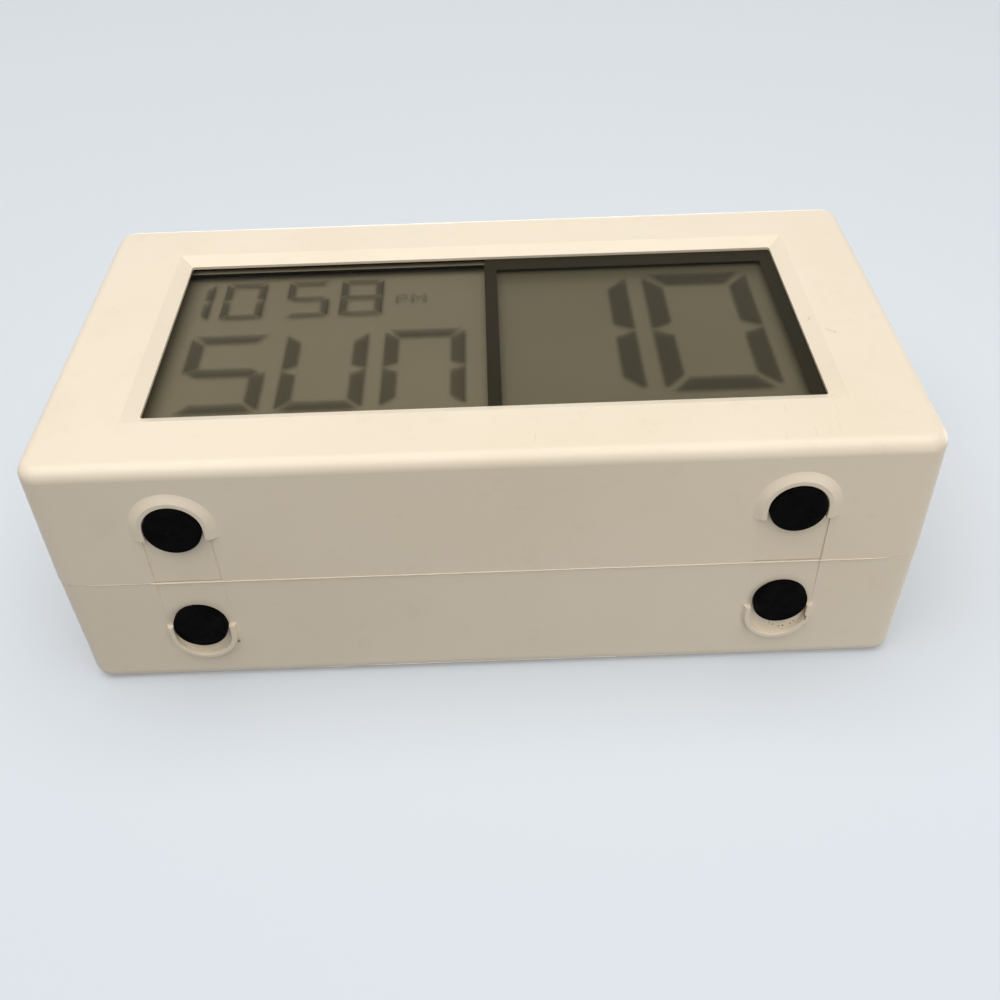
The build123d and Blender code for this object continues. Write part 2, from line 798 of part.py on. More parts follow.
with BuildPart() as capacitors:
    with BuildSketch(facing_back(main_board_back)):
        with Locations((-capacitor_gap, housing_middle), (capacitor_gap, housing_middle)):
            Circle(capacitor_radius)
    extrude(amount=capacitor_height)
    fillet(capacitors.faces().filter_by(Axis.Y).group_by(Axis.Y)[-1].edges(), capacitor_radius / 6)
save(capacitors, "capacitors")

# Alarm board with the push switch, its stem and the two lamps under the red button
rail_inner = button_length / 2 + flange_width + button_clearance
with BuildPart() as alarm_board:
    with BuildSketch(level(board_top - board_thickness)):
        with Locations((0, seam)):
            half_length = rail_inner + slot_depth - slot_clearance
            half_width = rail_reach - rail_end_wall - slot_clearance
            Rectangle(2 * half_length, 2 * half_width)
    extrude(amount=board_thickness)
save(alarm_board, "alarm_board")

with BuildPart() as alarm_switch:
    with BuildSketch(level(board_top)):
        with Locations((0, seam)):
            Rectangle(switch_side, switch_side)
    extrude(amount=switch_height)
    with BuildSketch(level(switch_top)):
        with Locations((0, seam)):
            Rectangle(stem_side + 2 * stem_clearance, stem_side + 2 * stem_clearance)
    extrude(amount=-stem_engagement - button_travel - stem_clearance, mode=Mode.SUBTRACT)
save(alarm_switch, "alarm_switch")

with BuildPart() as alarm_switch_stem:
    with BuildSketch(level(switch_top - stem_engagement)):
        with Locations((0, seam)):
            Rectangle(stem_side, stem_side)
    extrude(amount=stem_engagement + stem_rise)
save(alarm_switch_stem, "alarm_switch_stem")

with BuildPart() as alarm_lamps:
    with BuildSketch(level(board_top)):
        with Locations((-lamp_offset, seam), (lamp_offset, seam)):
            Circle(lamp_radius)
    extrude(amount=lamp_height)
    fillet(alarm_lamps.faces().filter_by(Axis.Z).group_by(Axis.Z)[-1].edges(), lamp_radius * 0.9)
save(alarm_lamps, "alarm_lamps")

# Alarm button: a hollow cap with a flange that keeps it under the top wall
cap_length = button_length - 2 * button_clearance
cap_width = button_width - 2 * button_clearance
cap_top = housing_top + button_height
flange_drop = back_rise * (button_width / 2 + flange_width)
flange_top = housing_top - seam_step - wall - flange_drop - flange_gap
flange_bottom = flange_top - flange_thickness
with BuildPart() as alarm_button:
    with BuildSketch(level(flange_bottom)):
        with Locations((0, seam)):
            SlotOverall(cap_length, cap_width)
    extrude(amount=cap_top - flange_bottom)
    fillet(alarm_button.faces().sort_by(Axis.Z)[-1].edges(), button_edge_radius)
    with BuildSketch(level(flange_bottom)):
        with Locations((0, seam)):
            SlotOverall(cap_length + 2 * flange_width, cap_width + 2 * flange_width)
    extrude(amount=flange_thickness)
    with BuildSketch(level(flange_bottom)):
        with Locations((0, seam)):
            SlotOverall(cap_length - 2 * button_wall, cap_width - 2 * button_wall)
    extrude(amount=cap_top - button_wall - flange_bottom, mode=Mode.SUBTRACT)
    with BuildSketch(level(stem_top)):
        with Locations((0, seam)):
            Rectangle(stem_side + button_wall, stem_side + button_wall)
            Rectangle(cap_length - button_wall, button_wall / 2)
            Rectangle(button_wall / 2, cap_width - button_wall)
    extrude(amount=cap_top - button_wall / 2 - stem_top)
save(alarm_button, "alarm_button")

# Key board behind the control strip, with the tact switches and the slide switch cans
with BuildPart() as key_board:
    with BuildSketch(facing_front(key_board_back)):
        with Locations((0, strip_z)):
            Rectangle(key_board_length, key_board_height)
        with Locations(*[(x, strip_z) for x in key_screw_places]):
            Circle(small_screw_radius + shank_clearance, mode=Mode.SUBTRACT)
    extrude(amount=board_thickness)
save(key_board, "key_board")

with BuildPart() as tact_switches:
    with BuildSketch(facing_back(key_board_back)):
        with Locations(*[(x, strip_z) for x in set_button_places]):
            Rectangle(tact_side, tact_side)
    extrude(amount=tact_height)
    with BuildSketch(facing_back(key_board_back + tact_height)):
        with Locations(*[(x, strip_z) for x in set_button_places]):
            Circle(tact_plunger_radius)
    extrude(amount=tact_plunger_height)
save(tact_switches, "tact_switches")

# Set buttons: round caps with a flange inside the wall and a post over the switch
post_end = key_board_back + tact_height + tact_plunger_height + set_button_travel
set_flange_back = strip_inside - guide_gap
for name, x in zip(("hour", "minute", "day", "alarm_set"), set_button_places):
    with BuildPart() as set_button:
        with BuildSketch(facing_back(set_flange_back - set_flange_thickness)):
            with Locations((-x, strip_z)):
                Circle(set_button_diameter / 2 + set_button_flange)
        extrude(amount=set_flange_thickness)
        with BuildSketch(facing_back(set_flange_back)):
            with Locations((-x, strip_z)):
                Circle(set_button_diameter / 2)
        extrude(amount=back_face - set_button_sink - set_flange_back)
        fillet(set_button.faces().sort_by(Axis.Y)[-1].edges(), set_button_edge_radius)
        with BuildSketch(facing_front(set_flange_back - set_flange_thickness)):
            with Locations((x, strip_z)):
                Circle(set_post_radius)
        extrude(amount=set_flange_back - set_flange_thickness - post_end)
        # Shallow dish for the fingertip
        with Locations((x, back_face - set_button_sink + set_dish_radius - set_dish_depth, strip_z)):
            Sphere(set_dish_radius, mode=Mode.SUBTRACT)
    save(set_button, f"{name}_button")

# Slide switches: a can with a slot, and a knob with a flange that keeps the wall's slot covered
can_back = key_board_back + slide_switch_depth
for name, (x, travel) in zip(("mode", "volume"), slide_switches):
    with BuildPart() as switch_can:
        with BuildSketch(facing_back(key_board_back)):
            with Locations((-x, strip_z)):
                Rectangle(slide_switch_length, slide_switch_height)
        extrude(amount=slide_switch_depth)
        with BuildSketch(facing_front(can_back)):
            with Locations((x, strip_z)):
                Rectangle(knob_tail + 2 * (travel + slot_gap), knob_tail + 2 * slot_gap)
        extrude(amount=slide_switch_depth - slide_wall, mode=Mode.SUBTRACT)
    save(switch_can, f"{name}_switch_can")
    with BuildPart() as knob:
        slot_half = knob_length / 2 + travel + slot_gap
        with BuildSketch(facing_back(set_flange_back - knob_flange_thickness)):
            with Locations((-x, strip_z)):
                flange_length = 2 * (slot_half + travel + knob_flange_margin)
                Rectangle(flange_length, knob_height + 4 * slot_gap + knob_flange_margin)
        extrude(amount=knob_flange_thickness)
        with BuildSketch(facing_back(set_flange_back)):
            with Locations((-x, strip_z)):
                Rectangle(knob_length, knob_height)
        extrude(amount=back_face - set_button_sink - set_flange_back)
        chamfer(knob.faces().sort_by(Axis.Y)[-1].edges(), knob_chamfer)
        # Two grip grooves across the knob
        with BuildSketch(facing_front(back_face - set_button_sink)):
            with Locations((x - knob_length / 6, strip_z), (x + knob_length / 6, strip_z)):
                Rectangle(knob_length / 8, knob_height)
        extrude(amount=knob_chamfer, mode=Mode.SUBTRACT)
        with BuildSketch(facing_front(set_flange_back - knob_flange_thickness)):
            with Locations((x, strip_z)):
                Rectangle(knob_tail, knob_tail)
        extrude(amount=set_flange_back - knob_flange_thickness - can_back + knob_tail)
    save(knob, f"{name}_switch_knob")

# Speaker: pressed steel frame, paper cone with its dust cap, magnet
speaker_axis = Axis((speaker_x, 0, speaker_z), (0, 1, 0))
speaker_plane = Plane(origin=(speaker_x, 0, speaker_z), x_dir=(1, 0, 0), z_dir=(0, 0, 1))
basket_back = speaker_back - basket_depth + speaker_flange_thickness
lip_radius = speaker_radius - speaker_flange_lip
with BuildPart() as speaker_frame:
    with BuildSketch(speaker_plane):
        with BuildLine():
            Polyline(
                (speaker_radius, speaker_seat),
                (speaker_radius, speaker_back),
                (lip_radius, speaker_back),
                (magnet_radius + basket_sheet, basket_back),
                (coil_radius, basket_back),
                (coil_radius, basket_back + basket_sheet),
                (magnet_radius, basket_back + basket_sheet),
                (lip_radius - basket_sheet, speaker_back),
                (lip_radius - basket_sheet, speaker_seat),
                close=True,
            )
        make_face()
    revolve(axis=speaker_axis)
save(speaker_frame, "speaker_frame")

cone_rim = lip_radius - basket_sheet
with BuildPart() as speaker_cone:
    with BuildSketch(speaker_plane):
        with BuildLine():
            Polyline(
                (0, basket_back + basket_sheet + cone_sheet),
                (coil_radius, basket_back + basket_sheet),
                (cone_rim - cone_roll, speaker_back),
                (cone_rim, speaker_back),
                (cone_rim, speaker_back + cone_sheet),
                (cone_rim - cone_roll, speaker_back + cone_sheet),
                (coil_radius, basket_back + basket_sheet + 2 * cone_sheet),
                (0, basket_back + basket_sheet + 4 * cone_sheet),
                close=True,
            )
        make_face()
    revolve(axis=speaker_axis)
save(speaker_cone, "speaker_cone")

with BuildPart() as speaker_magnet:
    with BuildSketch(facing_front(basket_back)):
        with Locations((speaker_x, speaker_z)):
            Circle(magnet_radius)
    extrude(amount=magnet_thickness)
    chamfer(speaker_magnet.faces().sort_by(Axis.Y)[0].edges(), magnet_thickness / 8)
save(speaker_magnet, "speaker_magnet")

with BuildPart() as speaker_clamps:
    clamp_reach = clamp_boss_gap + clamp_overlap + small_boss_radius
    with BuildSketch(facing_front(speaker_back)):
        for x, z, angle in clamp_places():
            with Locations(Location((x, z), angle)):
                with Locations((small_boss_radius - clamp_reach / 2, 0)):
                    Rectangle(clamp_reach, clamp_width)
                Circle(small_screw_radius + shank_clearance, mode=Mode.SUBTRACT)
    extrude(amount=clamp_thickness)
save(speaker_clamps, "speaker_clamps")


def cell_places():
    """Height of each cell's axis and the way that its nub points."""
    start = tub_bottom + tub_clearance + cell_pitch / 2
    return [(start + index * cell_pitch, 1 if index % 2 == 0 else -1) for index in range(cell_count)]


# Cells, lying across the case with their nubs left and right in turn
with BuildPart() as battery_cells:
    for z, nub_side in cell_places():
        flat_end = tub_x - nub_side * (tub_length / 2 - spring_room)
        for start, length, radius in (
            (flat_end, cell_length, cell_radius),
            (flat_end + nub_side * cell_length, cell_nub_height, cell_nub_radius),
        ):
            with BuildSketch(Plane.YZ.offset(start)):
                with Locations((cell_y, z)):
                    Circle(radius)
            extrude(amount=nub_side * length)
    rims = battery_cells.edges().filter_by(GeomType.CIRCLE)
    fillet(rims.filter_by(lambda edge: edge.radius > cell_radius - thread_clearance), cell_edge_radius)
save(battery_cells, "battery_cells")

# Contacts: a bent leaf behind each flat end, and a dimpled plate in front of each nub
with BuildPart() as battery_springs:
    for z, nub_side in cell_places():
        wall_x = tub_x - nub_side * (tub_length / 2 - contact_sheet / 2)
        tip_x = tub_x - nub_side * (tub_length / 2 - spring_room + contact_sheet / 2)
        with BuildSketch(level(z - contact_width / 2)):
            with BuildLine():
                FilletPolyline(
                    (wall_x, cell_y + contact_height / 2),
                    (wall_x, cell_y - contact_height / 2),
                    (tip_x, cell_y - contact_height / 5),
                    (tip_x, cell_y + contact_height / 5),
                    (wall_x + nub_side * spring_room / 3, cell_y + contact_height / 3),
                    radius=contact_bend_radius,
                )
            trace(line_width=contact_sheet)
        extrude(amount=contact_width)
save(battery_springs, "battery_springs")

with BuildPart() as battery_plates:
    for z, nub_side in cell_places():
        wall_x = tub_x + nub_side * tub_length / 2
        with BuildSketch(Plane.YZ.offset(wall_x)):
            with Locations((cell_y, z)):
                Rectangle(contact_height, contact_width)
        extrude(amount=-nub_side * contact_sheet)
        with BuildSketch(Plane.YZ.offset(wall_x)):
            with Locations((cell_y, z)):
                Circle(cell_nub_radius)
        extrude(amount=-nub_side * plate_room)
save(battery_plates, "battery_plates")

# Battery door: plate with two tabs above, a latch tongue below and two ribs inside
with BuildPart() as battery_door:
    with BuildSketch(facing_front(back_face)):
        with Locations((tub_x, tub_middle)):
            Rectangle(door_width, door_height)
    extrude(amount=door_thickness)
    with BuildSketch(facing_front(back_face - door_thickness)):
        with Locations(*[(tub_x + side * cell_length / 3, tub_middle) for side in (-1, 1)]):
            Rectangle(door_rib_width, tub_height - 4 * door_rib_width)
    extrude(amount=door_rib_height)
    tab_back = back_face - door_thickness - tab_gap
    with BuildSketch(facing_front(back_face - door_thickness)):
        with Locations(*[(x, door_top - tab_reach / 2) for x in tab_places]):
            Rectangle(tab_width, tab_reach)
    extrude(amount=tab_gap + tab_thickness)
    with BuildSketch(facing_front(tab_back)):
        with Locations(*[(x, door_top) for x in tab_places]):
            Rectangle(tab_width, 2 * tab_reach)
    extrude(amount=tab_thickness)
    # Slits that free the latch tongue
    with BuildSketch(facing_front(back_face)):
        for side in (-1, 1):
            with Locations((tub_x + side * (latch_width + latch_slit) / 2, door_bottom + latch_length / 2)):
                Rectangle(latch_slit, latch_length)
    extrude(amount=door_thickness, mode=Mode.SUBTRACT)
    # Catch behind the tongue
    with BuildSketch(facing_front(back_face - door_thickness)):
        with Locations((tub_x, tub_bottom + door_clearance + tab_thickness / 2)):
            Rectangle(latch_width, tab_thickness)
    extrude(amount=tab_thickness)
save(battery_door, "battery_door")

# Rubber feet, stuck on by hand: the back ones sit nearer the seam than the middle of their seats
foot_places = (
    ("front_left", -foot_x, front_seat),
    ("front_right", foot_x, front_seat),
    ("back_left", -foot_x, back_seat - back_left_slip),
    ("back_right", foot_x, back_seat - back_right_slip),
)
for place_name, x, y in foot_places:
    with BuildPart() as foot:
        with BuildSketch(level(0)):
            with Locations((x, y)):
                Circle(foot_diameter / 2)
        extrude(amount=foot_thickness)
        fillet(foot.faces().sort_by(Axis.Z)[0].edges(), foot_edge_radius)
    save(foot, f"{place_name}_foot")
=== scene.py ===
import json
import math
import random

import bmesh
import bpy
from mathutils import Matrix, Vector


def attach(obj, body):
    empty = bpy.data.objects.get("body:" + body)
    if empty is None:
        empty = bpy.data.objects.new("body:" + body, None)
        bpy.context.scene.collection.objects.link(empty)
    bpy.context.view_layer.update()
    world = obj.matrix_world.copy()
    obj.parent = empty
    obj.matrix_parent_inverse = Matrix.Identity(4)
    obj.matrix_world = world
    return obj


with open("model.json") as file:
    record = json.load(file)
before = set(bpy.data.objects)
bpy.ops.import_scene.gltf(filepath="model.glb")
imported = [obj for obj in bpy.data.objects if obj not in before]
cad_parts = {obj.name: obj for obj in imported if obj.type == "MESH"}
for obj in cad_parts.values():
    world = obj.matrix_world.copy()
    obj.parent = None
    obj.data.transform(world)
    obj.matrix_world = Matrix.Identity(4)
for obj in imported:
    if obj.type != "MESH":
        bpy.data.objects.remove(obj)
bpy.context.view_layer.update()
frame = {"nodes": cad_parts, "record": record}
nodes = frame["nodes"]

# Talking alarm clock with a large display, seen as it lies on its back.
# The frame is the model's: +X right, -Y the way the display faces, +Z up.
# Blender's lengths are metres. The scene's own pieces are given in millimetres, times MM.
MM = 0.001

HOUSING_MIDDLE = 50.15
HOUSING_BOTTOM = 1.25
BACK_FACE = 31.25
SEAM = -0.25
GLASS_DEPTH = -26.22
PRINT_DEPTH = -29.03
BORDER_DEPTH = -27.76

WHITE = (1.0, 1.0, 1.0)


def toned(colour, *factors):
    """The colour times one factor, or times a factor for each of its channels."""
    if len(factors) == 1:
        factors *= 3
    return tuple(c * k for c, k in zip(colour, factors))


class Tree:
    """The node tree of one procedural material, laid out in object coordinates."""

    def __init__(self, name):
        self.material = bpy.data.materials.new(name)
        self.material.use_nodes = True
        self.nodes = self.material.node_tree.nodes
        self.links = self.material.node_tree.links
        self.nodes.clear()
        self.place = self.add("ShaderNodeTexCoord").outputs["Object"]

    def add(self, kind, sockets=None, **settings):
        node = self.nodes.new(kind)
        for name, value in settings.items():
            setattr(node, name, value)
        for name, value in (sockets or {}).items():
            self.put(node.inputs[name], value)
        return node

    def put(self, socket, value):
        if isinstance(value, bpy.types.NodeSocket):
            self.links.new(value, socket)
        elif isinstance(value, tuple) and len(value) == 3 and socket.type == "RGBA":
            socket.default_value = (*value, 1.0)
        else:
            socket.default_value = value

    def scaled(self, scale, turn=(0.0, 0.0, 0.0), shift=(0.0, 0.0, 0.0)):
        sockets = {"Vector": self.place, "Scale": scale, "Rotation": turn, "Location": shift}
        return self.add("ShaderNodeMapping", sockets).outputs["Vector"]

    def noise(self, scale, detail=3.0, roughness=0.5, place=None, distortion=0.0):
        sockets = {"Vector": place or self.place, "Scale": scale}
        sockets.update({"Detail": detail, "Roughness": roughness, "Distortion": distortion})
        return self.add("ShaderNodeTexNoise", sockets).outputs["Fac"]

    def cells(self, scale, place=None, feature="F1", randomness=1.0):
        sockets = {"Vector": place or self.place, "Scale": scale, "Randomness": randomness}
        return self.add("ShaderNodeTexVoronoi", sockets, feature=feature).outputs["Distance"]

    def remap(self, value, low, high, to_low=0.0, to_high=1.0):
        sockets = {"Value": value, "From Min": low, "From Max": high, "To Min": to_low, "To Max": to_high}
        return self.add("ShaderNodeMapRange", sockets).outputs["Result"]

    def calc(self, operation, first, second, clamp=False):
        made = self.add("ShaderNodeMath", {0: first, 1: second}, operation=operation, use_clamp=clamp)
        return made.outputs[0]

    def vector(self, operation, *values):
        made = self.add("ShaderNodeVectorMath", dict(enumerate(values)), operation=operation)
        return made.outputs["Value" if operation in ("DISTANCE", "LENGTH") else "Vector"]

    def mix(self, factor, first, second):
        """One colour over another. Sockets 6 and 7 of the node are its two colours."""
        return self.add("ShaderNodeMix", {0: factor, 6: first, 7: second}, data_type="RGBA").outputs[2]

    def bump(self, height, distance, strength, under=None):
        made = self.add("ShaderNodeBump", {"Height": height, "Distance": distance, "Strength": strength})
        if under is not None:
            self.put(made.inputs["Normal"], under)
        return made.outputs["Normal"]

    def principled(self, **sockets):
        named = {name.replace("_", " "): value for name, value in sockets.items()}
        return self.add("ShaderNodeBsdfPrincipled", named).outputs["BSDF"]

    def see_through(self, colour=WHITE):
        return self.add("ShaderNodeBsdfTransparent", {"Color": colour}).outputs[0]

    def diffuse(self, colour):
        return self.add("ShaderNodeBsdfDiffuse", {"Color": colour, "Roughness": 0.5}).outputs[0]

    def blend(self, factor, first, second):
        return self.add("ShaderNodeMixShader", {0: factor, 1: first, 2: second}).outputs[0]

    def finish(self, surface):
        out = self.add("ShaderNodeOutputMaterial")
        self.links.new(surface, out.inputs["Surface"])
        return self.material


def moulded(
    name, colour, roughness, grain=0.00001, grain_scale=5200.0, tint=(1.03, 1.0, 0.96), specular=0.5
):
    """Moulded plastic: fine grain, slight swirls of colour, uneven gloss and a little dust."""
    t = Tree(name)
    swirl = t.noise(28.0, 4.0, 0.6, distortion=0.4)
    warm = tuple(min(1.0, c * k) for c, k in zip(colour, tint))
    cool = tuple(c * (2.0 - k) * 0.965 for c, k in zip(colour, tint))
    base = t.mix(t.remap(swirl, 0.35, 0.65), warm, cool)
    speck = t.remap(t.noise(900.0, 2.0, 0.7), 0.62, 0.8, 0.0, 0.35)
    base = t.mix(speck, base, tuple(min(1.0, c * 0.86 + 0.02) for c in colour))
    uneven = t.noise(60.0, 5.0, 0.65)
    rough = t.remap(uneven, 0.3, 0.7, roughness - 0.05, roughness + 0.07)
    fine = t.noise(grain_scale, 2.0, 0.6)
    wave = t.noise(90.0, 2.0, 0.4)
    normal = t.bump(fine, grain, 0.6, t.bump(wave, 0.00006, 0.25))
    surface = t.principled(Base_Color=base, Roughness=rough, Normal=normal, Specular_IOR_Level=specular)
    return t.finish(surface)


def housing(name, colour, roughness, grain, grain_scale, worn=None, marks=()):
    """Cream housing plastic with grime, specks, short scratches in patches and about worn, and rubbed marks.

    Each mark is its centre, its turn about Y, and half its length and width."""
    t = Tree(name)
    swirl = t.noise(22.0, 4.0, 0.55, distortion=0.5)
    base = t.mix(t.remap(swirl, 0.3, 0.7), colour, toned(colour, 0.965, 0.955, 0.93))
    grime = t.remap(t.noise(150.0, 6.0, 0.72), 0.56, 0.75, 0.0, 0.16)
    base = t.mix(grime, base, toned(colour, 0.72, 0.66, 0.56))
    speck = t.remap(t.cells(420.0), 0.0, 0.055, 0.28, 0.0)
    base = t.mix(speck, base, toned(colour, 0.5, 0.44, 0.34))
    slanted = t.noise(1.0, 1.0, 0.5, t.scaled((1700.0, 1700.0, 170.0), turn=(0.4, 0.8, 0.3)))
    level = t.noise(1.0, 1.0, 0.5, t.scaled((120.0, 1600.0, 1600.0), turn=(0.2, 0.45, 0.25)))
    slanted = t.calc("MULTIPLY", t.remap(slanted, 0.7, 0.78), t.remap(t.noise(21.0, 2.0, 0.5), 0.58, 0.68))
    apart = t.noise(15.0, 2.0, 0.5, t.scaled((1.0, 1.0, 1.0), shift=(0.4, 0.3, 0.2)))
    patch = t.remap(apart, 0.6, 0.7)
    if worn is not None:
        near = t.vector("DISTANCE", t.place, worn)
        patch = t.calc("MAXIMUM", patch, t.remap(near, 0.002, 0.01, 1.0, 0.0))
    scuff = t.calc("MAXIMUM", slanted, t.calc("MULTIPLY", t.remap(level, 0.7, 0.78), patch))
    base = t.mix(t.calc("MULTIPLY", scuff, 0.35), base, toned(colour, 0.72, 0.68, 0.6))
    for centre, turn, length, width in marks:
        away = {"Vector": t.vector("SUBTRACT", t.place, centre), "Angle": turn}
        along = t.add("ShaderNodeVectorRotate", away, rotation_type="Y_AXIS").outputs["Vector"]
        shrunk = t.vector("MULTIPLY", along, (1.0 / length, 1.0 / length, 1.0 / width))
        reach = t.vector("LENGTH", shrunk)
        broken = t.remap(t.noise(900.0, 2.0, 0.6), 0.4, 0.6, 0.3, 1.0)
        rub = t.calc("MULTIPLY", t.remap(reach, 0.4, 1.0, 0.8, 0.0), broken)
        base = t.mix(rub, base, toned(colour, 0.6, 0.58, 0.52))
    uneven = t.noise(48.0, 6.0, 0.68)
    rough = t.remap(uneven, 0.3, 0.7, roughness - 0.06, roughness + 0.08)
    rough = t.calc("ADD", rough, t.calc("MULTIPLY", scuff, 0.2), clamp=True)
    fine = t.noise(grain_scale, 2.0, 0.55)
    sink = t.noise(45.0, 2.0, 0.4)
    under = t.bump(sink, 0.00012, 0.2)
    under = t.bump(t.calc("SUBTRACT", 1.0, scuff), 0.000012, 0.5, under)
    normal = t.bump(fine, grain, 0.6, under)
    return t.finish(t.principled(Base_Color=base, Roughness=rough, Normal=normal, Specular_IOR_Level=0.5))


def steel(name, colour, roughness):
    """Plated steel with fine brushing, dull spots and colour drift."""
    t = Tree(name)
    brushed = t.noise(900.0, 3.0, 0.6, t.scaled((1.0, 1.0, 12.0)))
    drift = t.noise(120.0, 3.0, 0.6)
    base = t.mix(t.remap(drift, 0.35, 0.65), colour, toned(colour, 0.8))
    rough = t.remap(brushed, 0.2, 0.8, roughness - 0.08, roughness + 0.12)
    normal = t.bump(brushed, 0.00001, 0.5)
    return t.finish(t.principled(Base_Color=base, Metallic=1.0, Roughness=rough, Normal=normal))


def rubber(name, colour):
    """Matt black rubber with grains, dust caught in the pores and lint."""
    t = Tree(name)
    pores = t.noise(1500.0, 4.0, 0.7)
    dust = t.remap(t.noise(620.0, 5.0, 0.8), 0.6, 0.8, 0.0, 0.3)
    base = t.mix(dust, colour, (0.06, 0.05, 0.035))
    rough = t.remap(t.noise(300.0, 3.0, 0.6), 0.3, 0.7, 0.6, 0.9)
    normal = t.bump(pores, 0.00008, 0.7)
    return t.finish(t.principled(Base_Color=base, Roughness=rough, Normal=normal, Specular_IOR_Level=0.04))


def board(name):
    """Green solder mask over copper tracks with tinned pads."""
    t = Tree(name)
    slanted = t.scaled((1.0, 1.0, 1.0), turn=(0.0, 0.785, 0.0))
    cell = t.cells(260.0, slanted, feature="DISTANCE_TO_EDGE", randomness=0.25)
    track = t.remap(cell, 0.05, 0.09, 1.0, 0.0)
    pad = t.remap(t.cells(200.0, randomness=0.3), 0.1, 0.14, 1.0, 0.0)
    base = t.mix(track, (0.012, 0.085, 0.03), (0.03, 0.19, 0.06))
    base = t.mix(pad, base, (0.6, 0.58, 0.52))
    rough = t.remap(t.noise(200.0, 3.0, 0.6), 0.3, 0.7, 0.3, 0.45)
    normal = t.bump(t.calc("ADD", track, pad), 0.00003, 0.6)
    return t.finish(t.principled(Base_Color=base, Roughness=rough, Normal=normal))


def pane(name, tint, gloss):
    """Clear pane: light passes straight through with a tint, and its faces mirror more at a slant."""
    t = Tree(name)
    slant = t.add("ShaderNodeLayerWeight", {"Blend": 0.5}).outputs["Facing"]
    slant = t.calc("POWER", slant, 6.0)
    factor = t.remap(slant, 0.0, 1.0, gloss, 0.4)
    haze = t.remap(t.noise(70.0, 4.0, 0.6), 0.3, 0.7, 0.1, 0.2)
    normal = t.bump(t.noise(900.0, 2.0, 0.5), 0.000002, 0.5)
    smear = t.remap(t.noise(40.0, 4.0, 0.6), 0.35, 0.7)
    clear = t.see_through(t.mix(smear, tint, toned(tint, 0.985)))
    gleam = {"Color": (0.9, 0.9, 0.9), "Roughness": haze, "Normal": normal}
    shine = t.add("ShaderNodeBsdfGlossy", gleam).outputs[0]
    return t.finish(t.blend(factor, clear, shine))


def reflector(name, colour):
    """Foil behind the liquid crystal: olive grey with a fine sparkle."""
    t = Tree(name)
    grain = t.noise(3800.0, 2.0, 0.8)
    cloud = t.noise(35.0, 3.0, 0.5)
    base = t.mix(t.remap(grain, 0.3, 0.7), toned(colour, 0.93), toned(colour, 1.07))
    base = t.mix(t.remap(cloud, 0.3, 0.7, 0.0, 0.25), base, toned(colour, 1.05, 1.0, 0.93))
    rough = t.remap(grain, 0.3, 0.7, 0.5, 0.7)
    normal = t.bump(grain, 0.00001, 0.6)
    return t.finish(t.principled(Base_Color=base, Roughness=rough, Normal=normal, Specular_IOR_Level=0.3))


def liquid_crystal(name, colour, cover):
    """Dark liquid crystal of a lit segment, fading out over its rim by the attribute fade."""
    t = Tree(name)
    fade = t.add("ShaderNodeAttribute", attribute_name="fade").outputs["Fac"]
    grain = t.remap(t.noise(500.0, 2.0, 0.7), 0.3, 0.7, 0.97, 1.03)
    amount = t.calc("MULTIPLY", t.calc("MULTIPLY", fade, cover), grain, clamp=True)
    base = t.mix(t.remap(t.noise(160.0, 3.0, 0.6), 0.3, 0.7), colour, toned(colour, 0.9))
    return t.finish(t.blend(amount, t.see_through(), t.diffuse(base)))


def paper(name, colour):
    """Fibres with a dusty nap: the speaker's pressed paper cone, and lint."""
    t = Tree(name)
    fibre = t.noise(1400.0, 5.0, 0.75, distortion=1.2)
    base = t.mix(t.remap(fibre, 0.35, 0.7), colour, tuple(c * 1.8 + 0.01 for c in colour))
    rough = t.remap(fibre, 0.3, 0.7, 0.75, 0.95)
    normal = t.bump(fibre, 0.00006, 0.7)
    return t.finish(t.principled(Base_Color=base, Roughness=rough, Normal=normal, Sheen_Weight=0.2))


def striped_rubber(name):
    """Connector strip: thin dark conductive layers between pale insulating ones."""
    t = Tree(name)
    x = t.add("ShaderNodeSeparateXYZ", {"Vector": t.place}).outputs["X"]
    stripe = t.calc("PINGPONG", x, 0.0001)
    dark = t.remap(stripe, 0.00004, 0.00006)
    base = t.mix(dark, (0.5, 0.5, 0.5), (0.03, 0.03, 0.03))
    rough = t.remap(t.noise(400.0), 0.3, 0.7, 0.6, 0.8)
    normal = t.bump(t.noise(1500.0), 0.00003, 0.4)
    return t.finish(t.principled(Base_Color=base, Roughness=rough, Normal=normal))


def coloured_resin(name, colour, glow):
    """Coloured see-through plastic of the alarm button and the lamps, with moulding swirls inside."""
    t = Tree(name)
    swirl = t.noise(70.0, 4.0, 0.6, distortion=0.8)
    base = t.mix(t.remap(swirl, 0.35, 0.65), colour, toned(colour, 0.78))
    rough = t.remap(t.noise(60.0, 5.0, 0.6), 0.3, 0.7, 0.14, 0.26)
    normal = t.bump(t.noise(300.0, 3.0, 0.5), 0.00002, 0.35)
    surface = t.principled(
        Base_Color=base,
        Roughness=rough,
        Normal=normal,
        Subsurface_Weight=glow,
        Subsurface_Radius=(0.006, 0.0012, 0.0008),
        Subsurface_Scale=1.0,
        Coat_Weight=0.08,
        Specular_IOR_Level=0.35,
    )
    return t.finish(surface)


def glue(name):
    """Dried brown glue squeezed out beside a foot."""
    t = Tree(name)
    lump = t.noise(700.0, 5.0, 0.7)
    base = t.mix(t.remap(lump, 0.35, 0.7), (0.16, 0.085, 0.03), (0.45, 0.31, 0.16))
    rough = t.remap(lump, 0.3, 0.7, 0.25, 0.5)
    normal = t.bump(lump, 0.0002, 0.8)
    return t.finish(t.principled(Base_Color=base, Roughness=rough, Normal=normal))


